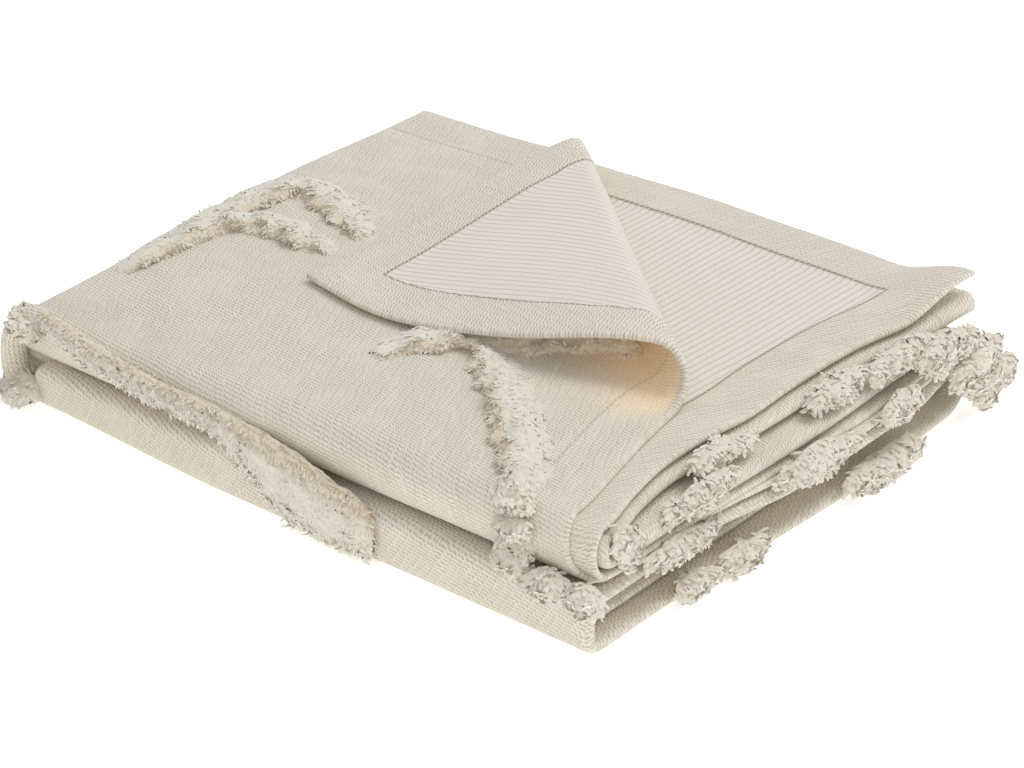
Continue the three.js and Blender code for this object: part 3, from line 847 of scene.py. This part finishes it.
def cloth_finish(name, reverse):
    finish = Finish(name, Roughness=0.95, Sheen_Weight=0.2, Sheen_Roughness=0.6, Specular_IOR_Level=0.2)
    vector, (across, along_cloth, hem) = finish.attribute("cloth")
    ribs = crepe(finish, vector, across, along_cloth)
    tone = finish.noise(vector, 70.0, detail=3.0).between(0.3, 0.7)
    shade = finish.blend(ribs.between(0.0, 0.8), ecru_groove, ecru)
    height = ribs
    stitches = ((across + along_cloth) * (2 * math.pi / stitch_pitch)).sine().between(-0.6, 0.2)
    line = (1 - (hem - stitch_from_edge).size().between(0.3, 1.1)) * (stitches * 0.6 + 0.4)
    if reverse:
        inner = hem.between(29.0, 29.8)
        plain = reverse_ribs(finish, vector, across, along_cloth)
        white = finish.blend(plain.between(0.1, 0.75), white_groove, white_cotton)
        shade = finish.blend(inner, shade, white)
        height = ribs * (1 - inner) + plain * inner * 0.6 + (1 - inner) * 1.6
        line = line * 0.9
    else:
        line = line * 0.35
    shade = finish.blend(tone * 0.10, shade, uneven_shade)
    if not reverse:
        # Painted light: a warm tint and a faint glow on the face of the cloth in the pocket
        _, (painted_pocket_light, _, _) = finish.attribute("painted_pocket_light")
        shade = finish.blend(painted_pocket_light * painted_pocket_tint_share, shade, painted_pocket_tint)
        finish.surface("Emission Color", finish.blend(painted_pocket_light, black, painted_pocket_glow))
        finish.shader.inputs["Emission Strength"].default_value = painted_pocket_glow_power
    shade = finish.blend(line, shade, stitch_shade)
    shade = finish.blend(flecks(finish, vector) * 0.8, shade, fleck_shade)
    finish.surface("Base Color", shade)
    finish.relief(height - line * 1.6, 0.34)
    return finish.material


crepe_face = cloth_finish("crepe_face", reverse=False)
ribbed_reverse = cloth_finish("ribbed_reverse", reverse=True)

both_faces = [crepe_face, ribbed_reverse]
blanket = new_piece("blanket_cloth", sheet_mesh_points, sheet_faces, both_faces, sheet_materials)
attach(blanket.data, "cloth", sheet_on_cloth)

# Painted light: in the pocket under the turned-back corner the cloth is tinted warm and glows a little, for
# the warm light bounced about under the corner.
top_face = np.zeros(len(sheet_mesh_points), bool)
top_face[in_grid.sum() : count] = True
clear_of_rim = sheet_on_cloth[:, 2] > rim_free
painted_pocket_light_mask = pocket_share(sheet_mesh_points) * top_face * clear_of_rim
attach(blanket.data, "painted_pocket_light", np.stack([painted_pocket_light_mask, 0 * painted_pocket_light_mask, 0 * painted_pocket_light_mask], -1))
print("blanket_cloth:", len(blanket.data.polygons), "faces")

# %% [markdown]
# ## Pile
#
# The pile is soft cotton yarn, tufted through the face in curving bands and cut. On the top it
# stands in four ridges; where the bands run into the folds, it hangs out between the layers. Each
# ridge is a row of places along its middle, and each tuft has its middle and its half sizes.

# %% Ridges and tufts of pile
ridge_names = ("x", "y", "wide", "tall")
ridge_rows = {
    "left_back": [
        (-182, -52, 16, 4),
        (-180, -18, 25, 6),
        (-177, 14, 27, 7),
        (-163, 36, 26, 8),
        (-137, 31, 25, 8),
        (-113, 19, 22, 7),
        (-93, 9, 12, 4),
    ],
    "left_front": [
        (-181, -96, 12, 3),
        (-179, -74, 20, 6),
        (-175, -50, 24, 8),
        (-168, -22, 25, 9),
        (-146, -8, 25, 9),
        (-122, -12, 22, 8),
        (-97, -12, 12, 4),
    ],
    "middle": [
        (-10, -90, 14, 4),
        (-3, -68, 26, 8),
        (9, -51, 30, 10),
        (27, -40, 29, 11),
        (48, -26, 26, 11),
        (72, -11, 22, 11),
        (97, 2, 14, 8),
    ],
    "front": [
        (31, -45, 16, 7),
        (52, -62, 24, 8),
        (73, -78, 25, 9),
        (92, -95, 27, 10),
        (110, -113, 26, 9),
        (126, -131, 24, 7),
        (134, -145, 16, 4),
    ],
}
# A tuft's row is its middle, then its half sizes along x, y and z
tuft_rows = {
    "left": [
        (-189, -149, 44, 12, 12, 9),
        (-190, -156, 8, 13, 11, 9),
    ],
    "front": [
        (137, -155, 68, 12, 6, 11),
        (141, -157, 51, 13, 6, 9),
        (141, -160, 38, 14, 6, 10),
        (164, -162, 32, 16, 7, 8),
        (185, -161, 32, 10, 7, 8),
    ],
    "right": [
        (176, -46, 56, 7, 21, 5),
        (186, -75, 49, 7, 24, 7),
        (187, -133, 49, 5, 9, 13),
        (189, -95, 31, 6, 24, 7),
        (196, 8, 34, 7, 30, 9),
        (181, 42, 54, 9, 20, 6),
        (189, 86, 56, 7, 22, 7),
        (199, 74, 37, 6, 15, 8),
    ],
    "right_low": [
        (194, 118, 48, 10, 22, 11),
        (198, 143, 33, 10, 19, 13),
        (196, 158, 16, 11, 19, 15),
        (193, -87, 8, 6, 14, 8),
        (196, -51, 8, 7, 15, 8),
        (200, 60, 9, 9, 30, 9),
    ],
}
band_names = ("x", "y", "z", "deep", "tall")
band_rows = [
    (-188, -147, 50, 4, 4),
    (-164, -153, 50, 6, 6),
    (-143, -156, 47, 7, 7),
    (-125, -157, 45, 7, 7),
    (-108, -158, 43, 7, 7),
    (-84, -159, 42, 7, 7),
    (-57, -159, 42, 7, 8),
    (-42, -160, 39, 7, 11),
    (-28, -161, 35, 8, 15),
    (-14, -162, 31, 8, 19),
    (2, -163, 26, 8, 23),
    (18, -164, 24, 8, 22),
    (32, -165, 22, 8, 20),
    (44, -165, 21, 7, 19),
    (54, -165, 18, 5, 16),
    (58, -165, 15, 2, 8),
]
ridge_root = 0.3
ridge_lean = 0.4
lump_size = 0.14
flap_gap = 1.5
lowest_pile = 0.6
band_drop = 0.1
band_depth = 0.75


def columns_of(names, rows):
    table = {name: np.array(column, float) for name, column in zip(names, zip(*rows))}
    table["at"] = np.arange(len(rows), dtype=float)
    return table


def lump(x, y, z):
    first_wave = np.sin(0.31 * x + 0.17 * y + 0.23 * z)
    second_wave = np.sin(0.13 * x - 0.37 * y + 0.41 * z)
    return 1 + lump_size * (first_wave + second_wave)


def top_height(x, y):
    """Height of the middle of layer 1 on the top, which rounds down at the left roll."""
    over = np.maximum(0.0, left_roll_line(0.5) - x)
    level = np.full(np.shape(x), height_of("top", first_layer))
    return settle(np.stack([x, y, level], -1))[..., 2] - 0.06 * over * over


def room_over(x, y):
    """Room between the top layer and the turned-back corner above it."""
    s, radius, _ = fold_place(x, y)
    back = fold_crest - radius - (x * fold_across[0] + y * fold_across[1])
    f, way = row_place(s, back + np.pi * radius)
    room = lerp(2 * radius, flap_rest, smooth(back / flap_settles)) - cloth_thickness / 2 - flap_gap
    return np.where((back > flap_settles + 40) | (f < 0) | (way < 0), 100.0, room)


def ridge_point(table, at, aside, share):
    """Point on a ridge's mound, as a share of its height, and the height there."""
    last = table["at"][-1]
    middle = [along(table, "at", name, at) for name in ("x", "y")]
    before = [along(table, "at", name, np.maximum(0, at - 0.05)) for name in ("x", "y")]
    after = [along(table, "at", name, np.minimum(last, at + 0.05)) for name in ("x", "y")]
    aim = unit(np.stack([after[0] - before[0], after[1] - before[1]], -1))
    out = along(table, "at", "wide", at) / 2 * aside * lump(middle[0], 40 * aside, 0)
    x = middle[0] - aim[..., 1] * out
    y = middle[1] + aim[..., 0] * out
    height = np.minimum(along(table, "at", "tall", at) * lump(x, y, 0), room_over(x, y))
    crown = np.maximum(0.0, 1 - np.abs(aside) ** 2.6) ** 0.55 * (1 - ridge_lean * (aside + 1) / 2)
    return np.stack([x, y, top_height(x, y) + ridge_root + share * height * crown], -1)


def band_point(table, at, turn, share):
    """Point on the band of pile in the front crease, at a place along it and a turn round it."""
    x, y, z, deep, tall = (along(table, "at", name, at) for name in band_names)
    uneven = (0.75 + 0.25 * lump(x + 30 * np.sin(turn), 40 * np.cos(turn), z)) * share
    up = np.sin(turn) - band_drop * np.maximum(0.0, np.sin(turn))
    return np.stack([x, y - uneven * band_depth * deep * np.cos(turn), z + uneven * tall * up], -1)


def tuft_point(row, tilt, turn, share):
    """Point on a tuft's rounded mound, at a tilt from its top and a turn round it."""
    directions = np.stack([np.sin(tilt) * np.cos(turn), np.sin(tilt) * np.sin(turn), np.cos(tilt)], -1)
    middle, half = np.array(row[:3], float), np.array(row[3:], float)
    near = middle + 9 * directions
    uneven = lump(near[..., 0], near[..., 1], near[..., 2])[..., None]
    return middle + directions * half * uneven * share


ridges = {name: columns_of(ridge_names, rows) for name, rows in ridge_rows.items()}
band = columns_of(band_names, band_rows)
print(len(ridges), "ridges, a band and", sum(map(len, tuft_rows.values())), "tufts")

# %% [markdown]
# ### Locks of yarn
#
# One lock is a thin, flat, curved strip with a low ridge along its middle. Only its upper sides are
# made, because it lies on a closed mound. Thousands lie on low mounds, and neighbours lean together
# in clumps, as cut yarn does. Each lock keeps how far it is from its root as an attribute, because
# the roots lie in warm shadow. All are made as arrays, in a few joined meshes.

# %% Locks of yarn
ring_places = np.array([0.0, 0.3, 0.65, 0.92])
ring_widths = np.array([0.7, 1.0, 1.0, 0.75])
ring_thickness = 0.5
lock_sides = 3
upper_sides = [(0, 1), (2, 0)]
clump_size = 4.2
clump_count = 4096
chance = np.random.default_rng(11)
clump_leans = chance.normal(size=(clump_count, 3))


def clump_of(points):
    """Number and middle of the clump that each point belongs to."""
    spot = np.floor(points / clump_size).astype(int)
    number = (spot[:, 0] * 73 + spot[:, 1] * 179 + spot[:, 2] * 283) % clump_count
    return number, (spot + 0.5) * clump_size


def locks(roots, normals, comb, lengths_of, width, lift, rim):
    """Points, faces, yarn values and normals of locks that lie over a mound from the given roots."""
    count = len(roots)
    number, middle = clump_of(roots)

    def flat(vectors):
        return vectors - (vectors * normals).sum(1, keepdims=True) * normals

    shared, own_lean = flat(clump_leans[number]), flat(chance.normal(size=(count, 3)))
    gather = flat(middle - roots) / clump_size
    flat_comb = unit(flat(comb))
    start = unit(lift * normals + 0.8 * flat_comb + 0.25 * shared + 0.2 * own_lean)
    end = unit(0.9 * flat_comb - 0.25 * normals + 0.45 * shared + 0.4 * own_lean + 0.5 * gather)
    side_way = unit(np.cross(normals, start))
    other_way = ring_thickness * unit(np.cross(start, side_way))
    widths = width * chance.uniform(0.65, 1.35, count)
    rings, facing = [], []
    for place, share in zip(ring_places, ring_widths):
        line = start * (place - place * place / 2) + end * (place * place / 2)
        centre = roots + line * lengths_of[:, None]
        for k in range(lock_sides):
            angle = 2 * np.pi * (k / lock_sides + 0.25)
            out = np.cos(angle) * side_way + np.sin(angle) * other_way
            rings.append(centre + out * (widths * share)[:, None])
            facing.append(unit(out * own_roundness + normals))
    rings.append(roots + (start / 2 + end / 2) * lengths_of[:, None])
    facing.append(normals)
    points = np.stack(rings, 1)
    points[..., 2] = np.maximum(points[..., 2], lowest_pile / 2)
    each = points.shape[1]
    faces = []
    for ring in range(len(ring_places) - 1):
        low, high = ring * lock_sides, (ring + 1) * lock_sides
        for k, n in upper_sides:
            faces += [(low + k, low + n, high + n), (low + k, high + n, high + k)]
    top = (len(ring_places) - 1) * lock_sides
    faces += [(top + k, top + n, each - 1) for k, n in upper_sides]
    faces = np.array(faces)[None] + each * np.arange(count)[:, None, None]
    yarn = np.zeros((count, each, 3))
    yarn[..., 0] = np.append(np.repeat(ring_places, lock_sides), 1.0)
    yarn[..., 1] = chance.uniform(size=count)[:, None]
    yarn[..., 2] = rim[:, None]
    facing = np.stack(facing, 1)
    return tuple(part.reshape(-1, 3) for part in (points, faces, yarn, facing))


own_roundness = 0.45
lock_draws = 40000
locks_each_area = 0.75
root_depth = 0.3
ruffle_size = 0.3
downhill = 1.6


def ruffled(surface, u, v):
    """Points and normals of a surface with small, uneven lumps."""
    step = 0.004
    ahead, behind = surface(np.minimum(u + step, 1), v), surface(np.maximum(u - step, 0), v)
    outer, inner = surface(u, v + step), surface(u, v - step)
    cross = np.cross(ahead - behind, outer - inner)
    normals = unit(cross)
    points = surface(u, v)
    x, y, z = points[..., 0], points[..., 1], points[..., 2]
    waves = np.sin(1.31 * x + 0.5 * y + 2 * np.sin(0.7 * z))
    waves = waves + np.sin(1.17 * y - 0.6 * x + 2 * np.sin(0.9 * x))
    waves += np.sin(1.45 * z + 0.8 * y + 1.5 * np.sin(0.8 * y))
    points = points + normals * (ruffle_size / 3 * waves)[..., None]
    points[..., 2] = np.maximum(points[..., 2], lowest_pile)
    return points, normals, np.linalg.norm(cross, axis=-1) / (4 * step * step)


def pile_body(surface, size, wraps, comb, lock, rim, facing=None):
    """A mound over a surface of u and v from 0 to 1, with locks lying all over it."""
    length, width, lift = lock
    u, v = np.meshgrid(np.linspace(0, 1, size[0]), np.linspace(0, 1, size[1] + wraps), indexing="ij")
    u, v = u[:, : size[1]], v[:, : size[1]]
    mound, normals, _ = ruffled(surface, u, v)
    number = np.arange(u.size).reshape(u.shape)
    if wraps:
        number = np.concatenate([number, number[:, :1]], 1)
    faces = np.stack([number[:-1, :-1], number[1:, :-1], number[1:, 1:], number[:-1, 1:]], -1).reshape(-1, 4)
    yarn = np.stack([np.full(u.shape, 0.6), np.full(u.shape, 0.5), rim(u, v)], -1)
    body = (mound.reshape(-1, 3), faces, yarn.reshape(-1, 3), normals.reshape(-1, 3))

    u, v = chance.uniform(size=(2, lock_draws))
    _, _, area = ruffled(surface, u, v)
    kept = chance.uniform(size=len(area)) < area / area.max()
    count = min(kept.sum(), int(area.mean() * locks_each_area))
    u, v = u[kept][:count], v[kept][:count]
    roots, normals, _ = ruffled(surface, u, v)
    if facing is not None:
        seen = normals @ np.array(facing) > -0.2
        u, v, roots, normals = u[seen], v[seen], roots[seen], normals[seen]
    reach_of = length * chance.uniform(0.7, 1.25, len(roots))
    ways = np.array(comb) + 0.25 * chance.normal(size=(len(roots), 3)) + downhill * normals * (1, 1, 0)
    return body, locks(roots - root_depth * normals, normals, ways, reach_of, width, lift, rim(u, v))


def pile_piece(name, parts, finish):
    """Join meshes, each a tuple of points, faces, yarn values and normals, into one piece."""
    points, faces, yarn, normals = [], [], [], []
    at = 0
    for part_points, part_faces, part_yarn, part_normals in parts:
        points.append(part_points)
        faces += (part_faces + at).tolist()
        yarn.append(part_yarn)
        normals.append(part_normals)
        at += len(part_points)
    piece = new_piece(name, np.concatenate(points), faces, [finish])
    attach(piece.data, "yarn", np.concatenate(yarn))
    piece.data.normals_split_custom_set_from_vertices(np.concatenate(normals).tolist())
    print(name, "has", sum(len(face) - 2 for face in faces), "triangles")
    return piece


print("locks ready")

# %% [markdown]
# ### Finish of the pile
#
# Cream yarn with ochre shadow round its roots. Light scatters about in soft yarn, so it never turns
# quite dark, and a trace of emission stands in for that.

# %% Finish of the pile
# Painted shade: the yarn is darker towards its roots and ochre round them
painted_root_shade = colour(206, 176, 130)
yarn_middle = colour(227, 220, 206)
yarn_tip = colour(231, 225, 213)
yarn_dull = colour(220, 210, 190)


def pile_finish():
    finish = Finish(
        "cream_pile", Roughness=0.95, Sheen_Weight=0.3, Sheen_Roughness=0.7, Specular_IOR_Level=0.15,
        Emission_Color=white_cotton, Emission_Strength=0.05,
    )
    _, (place, tone, rim) = finish.attribute("yarn")
    coordinates = finish.node("ShaderNodeTexCoord", output=3)
    grain = finish.noise(coordinates, 0.0016, detail=1.0)
    # Painted shade: darker from tip to root, and ochre round the roots where the third yarn value is high
    shade = finish.blend(place.between(0.1, 0.9), yarn_middle, yarn_tip)
    shade = finish.blend((1 - place.between(0.15, 0.9)) * (rim * 0.85 + 0.06), shade, painted_root_shade)
    shade = finish.blend(tone * 0.2, shade, yarn_dull)
    finish.surface("Base Color", shade)
    finish.relief(grain, 0.25)
    return finish.material


cream_pile = pile_finish()

# %% [markdown]
# ### Ridges on the top
#
# The yarn of each ridge is brushed towards the front, so its front edge hangs over the cloth and its
# back slopes down to nothing.

# %% Ridges on the top
mound_share = 0.85
back_slope = 0.7
end_taper = 0.06
ridge_comb = (-0.2, -0.5, 0.0)
ridge_lock = (4.2, 0.6, 0.3)


def ridge_parts(table):
    last = table["at"][-1]

    def surface(u, v):
        share = mound_share * smooth(np.minimum(u, 1 - u) / end_taper)
        share = share * (1 - back_slope * smooth((v - 0.45) / 0.5))
        return ridge_point(table, u * last, 2 * v - 1, share)

    # Painted shade round the roots along the front edge, which faces away from the key light, and in the
    # pocket under the turned-back corner
    def rim(u, v):
        return np.maximum(smooth((0.3 - v) / 0.2), pocket_share(surface(u, v)))

    return pile_body(surface, (80, 19), 0, ridge_comb, ridge_lock, rim, facing=(0, -1, 0.3))


parts = [part for table in ridges.values() for part in ridge_parts(table)]
pile_pieces = [pile_piece("pile_top", parts, cream_pile)]

# %% [markdown]
# ### Band in the front crease
#
# A band of pile comes out of the fold between the two packages and hangs down over the lower one.

# %% Band in the front crease
band_share = 0.9
band_comb = (0.05, -0.3, -1.0)
band_lock = (5.5, 0.5, 0.3)


def band_surface(u, v):
    return band_point(band, u * band["at"][-1], 2 * np.pi * v, band_share)


# Painted shade round the roots on the upper part of the band, under the crease
def band_root_shade(u, v):
    return smooth((np.sin(2 * np.pi * v) - 0.35) / 0.5)


parts = pile_body(band_surface, (140, 72), 1, band_comb, band_lock, band_root_shade, facing=(0, -1, 0))
pile_pieces.append(pile_piece("pile_band", parts, cream_pile))

# %% [markdown]
# ### Tufts between the layers
#
# Where other bands run into the folds, tufts of them stand out at the corners and on the
# right-hand side.

# %% Tufts between the layers
combs = {"left": (-0.5, -0.55, -0.5), "front": (0.05, -0.35, -1.15), "right": (0.45, -0.15, -0.55)}
outward_of = {"left": (-0.7, -0.7, 0.1), "front": (0, -1, 0), "right": (1, 0, 0)}
tuft_lock = (5.8, 1.2, 0.5)
small_lumps = [
    (0.0, 0.0, 0.0, 0.72),
    (0.1, 0.55, 0.2, 0.5),
    (0.1, -0.55, -0.15, 0.55),
    (0.15, 0.1, -0.45, 0.5),
]


def tuft_parts(row, face):
    """A few small lumps of yarn in the place of one tuft."""
    made = []
    for out, aside, up, share in small_lumps:
        x, y, z, wide, deep, tall = row
        swap = -1 if (x + y) % 2 < 1 else 1
        middle = (x + out * wide, y + swap * aside * deep, z + up * tall)
        small = (*middle, wide * share, deep * share, tall * share)

        def surface(u, v):
            return tuft_point(small, np.pi * (0.02 + 0.96 * u), 2 * np.pi * v, 1.0)

        # Painted shade round the roots, the same on every tuft
        def rim(u, v):
            return np.full(np.shape(u), 0.25)

        made += pile_body(surface, (12, 16), 1, combs[face], tuft_lock, rim, facing=outward_of[face])
    return made


for group, rows_of_group in tuft_rows.items():
    face = group.split("_")[0]
    parts = [part for row in rows_of_group for part in tuft_parts(row, face)]
    pile_pieces.append(pile_piece("pile_" + group, parts, cream_pile))

# %% [markdown]
# ### Fold at the left corner
#
# Under the left corner the cloth comes down to the floor in a round fold, and another fold fills the
# gap behind it. Each is a round band of cloth along a row of places.

# %% Fold at the left corner
fold_names = ("x", "y", "z", "deep", "tall")
fold_rows = {
    "outer": [
        (-176, -148, 51, 6, 4),
        (-189, -150, 47, 7, 6),
        (-198, -151, 37, 8, 6),
        (-200, -152, 24, 8, 6),
        (-197, -153, 13, 8, 6),
        (-186, -154, 8, 7, 5),
    ],
    "inner": [
        (-204, -140, 26, 4, 22),
        (-201, -140, 26, 4, 22),
        (-186, -140, 28, 4, 20),
        (-165, -141, 36, 4, 12),
        (-140, -143, 40, 5, 6),
        (-110, -146, 41, 5, 5),
    ],
}


def fold_band(rows, rings=40, around=20):
    """Points, faces and places on the cloth of a round band of cloth along a row of places."""
    table = columns_of(fold_names, rows)
    at, turn = np.meshgrid(np.linspace(0, len(rows) - 1, rings), np.arange(around) / around, indexing="ij")
    x, y, z, deep, tall = (along(table, "at", name, at) for name in fold_names)
    closed = np.sqrt(np.clip(np.minimum(at, len(rows) - 1 - at) / 0.5, 0, 1))
    deep, tall = deep * closed, tall * closed
    ahead = unit(np.stack([np.gradient(x, axis=0), np.gradient(z, axis=0)], -1))
    out, aside = tall * np.sin(2 * np.pi * turn), deep * np.cos(2 * np.pi * turn)
    points = np.stack([x + ahead[..., 1] * out, y - aside, z - ahead[..., 0] * out], -1)
    number = np.arange(at.size).reshape(at.shape)
    number = np.concatenate([number, number[:, :1]], 1)
    faces = np.stack([number[:-1, :-1], number[:-1, 1:], number[1:, 1:], number[1:, :-1]], -1)
    length = np.cumsum(np.hypot(np.gradient(x, axis=0), np.gradient(z, axis=0)), axis=0)
    on_cloth = np.stack([length, 38 * np.abs(turn - 0.5), np.full(at.shape, 400.0)], -1)
    return points.reshape(-1, 3), faces.reshape(-1, 4), on_cloth.reshape(-1, 3)


fold_points, fold_faces, fold_on_cloth, start = [], [], [], 0
for rows in fold_rows.values():
    points, faces, on_cloth = fold_band(rows)
    fold_points.append(points)
    fold_faces += (faces + start).tolist()
    fold_on_cloth.append(on_cloth)
    start += len(points)
fold_left = new_piece("fold_left", np.concatenate(fold_points), fold_faces, [crepe_face])
attach(fold_left.data, "cloth", np.concatenate(fold_on_cloth))
print("fold_left:", len(fold_faces), "faces")

# %% [markdown]
# All pieces ride on the one body and stand for the imported blanket, which is hidden.

# %% Pieces on the body
for piece in pile_pieces + [fold_left, blanket]:
    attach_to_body(piece, "root")
    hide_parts("blanket")

# %% [markdown]
# ## Floor and light
#
# The blanket lies on a plain pale floor, in the even, soft light of a studio.

# %% Floor and light
scene = bpy.context.scene
scene.view_settings.view_transform = "Standard"

floor_shade = colour(250, 250, 250)
floor_light = colour(255, 255, 255)
floor_finish = Finish(
    "pale_floor",
    Base_Color=floor_shade,
    Roughness=0.9,
    Emission_Color=floor_light,
    Emission_Strength=0.48,
)
corners = [(-4000, -4000, 0), (4000, -4000, 0), (4000, 4000, 0), (-4000, 4000, 0)]
floor = new_piece("floor", corners, [(0, 1, 2, 3)], [floor_finish.material])

world = bpy.data.worlds.new("studio")
world.use_nodes = True
world.node_tree.nodes["Background"].inputs["Color"].default_value = (0.96, 0.985, 1.0, 1.0)
world.node_tree.nodes["Background"].inputs["Strength"].default_value = 0.61
scene.world = world


def soft_light(name, place, size, power, tint):
    data = bpy.data.lights.new(name, "AREA")
    data.size, data.energy, data.color = size, power, tint
    light = bpy.data.objects.new(name, data)
    scene.collection.objects.link(light)
    light.location = place
    light.rotation_euler = Vector(place).to_track_quat("Z", "Y").to_euler()


soft_light("key_light", (0.7, 1.5, 3.0), 1.8, 48.0, (1.0, 1.0, 1.0))
soft_light("fill_light", (1.3, -1.3, 0.4), 1.0, 3.5, (1.0, 0.94, 0.86))
print("floor, world and two lights")
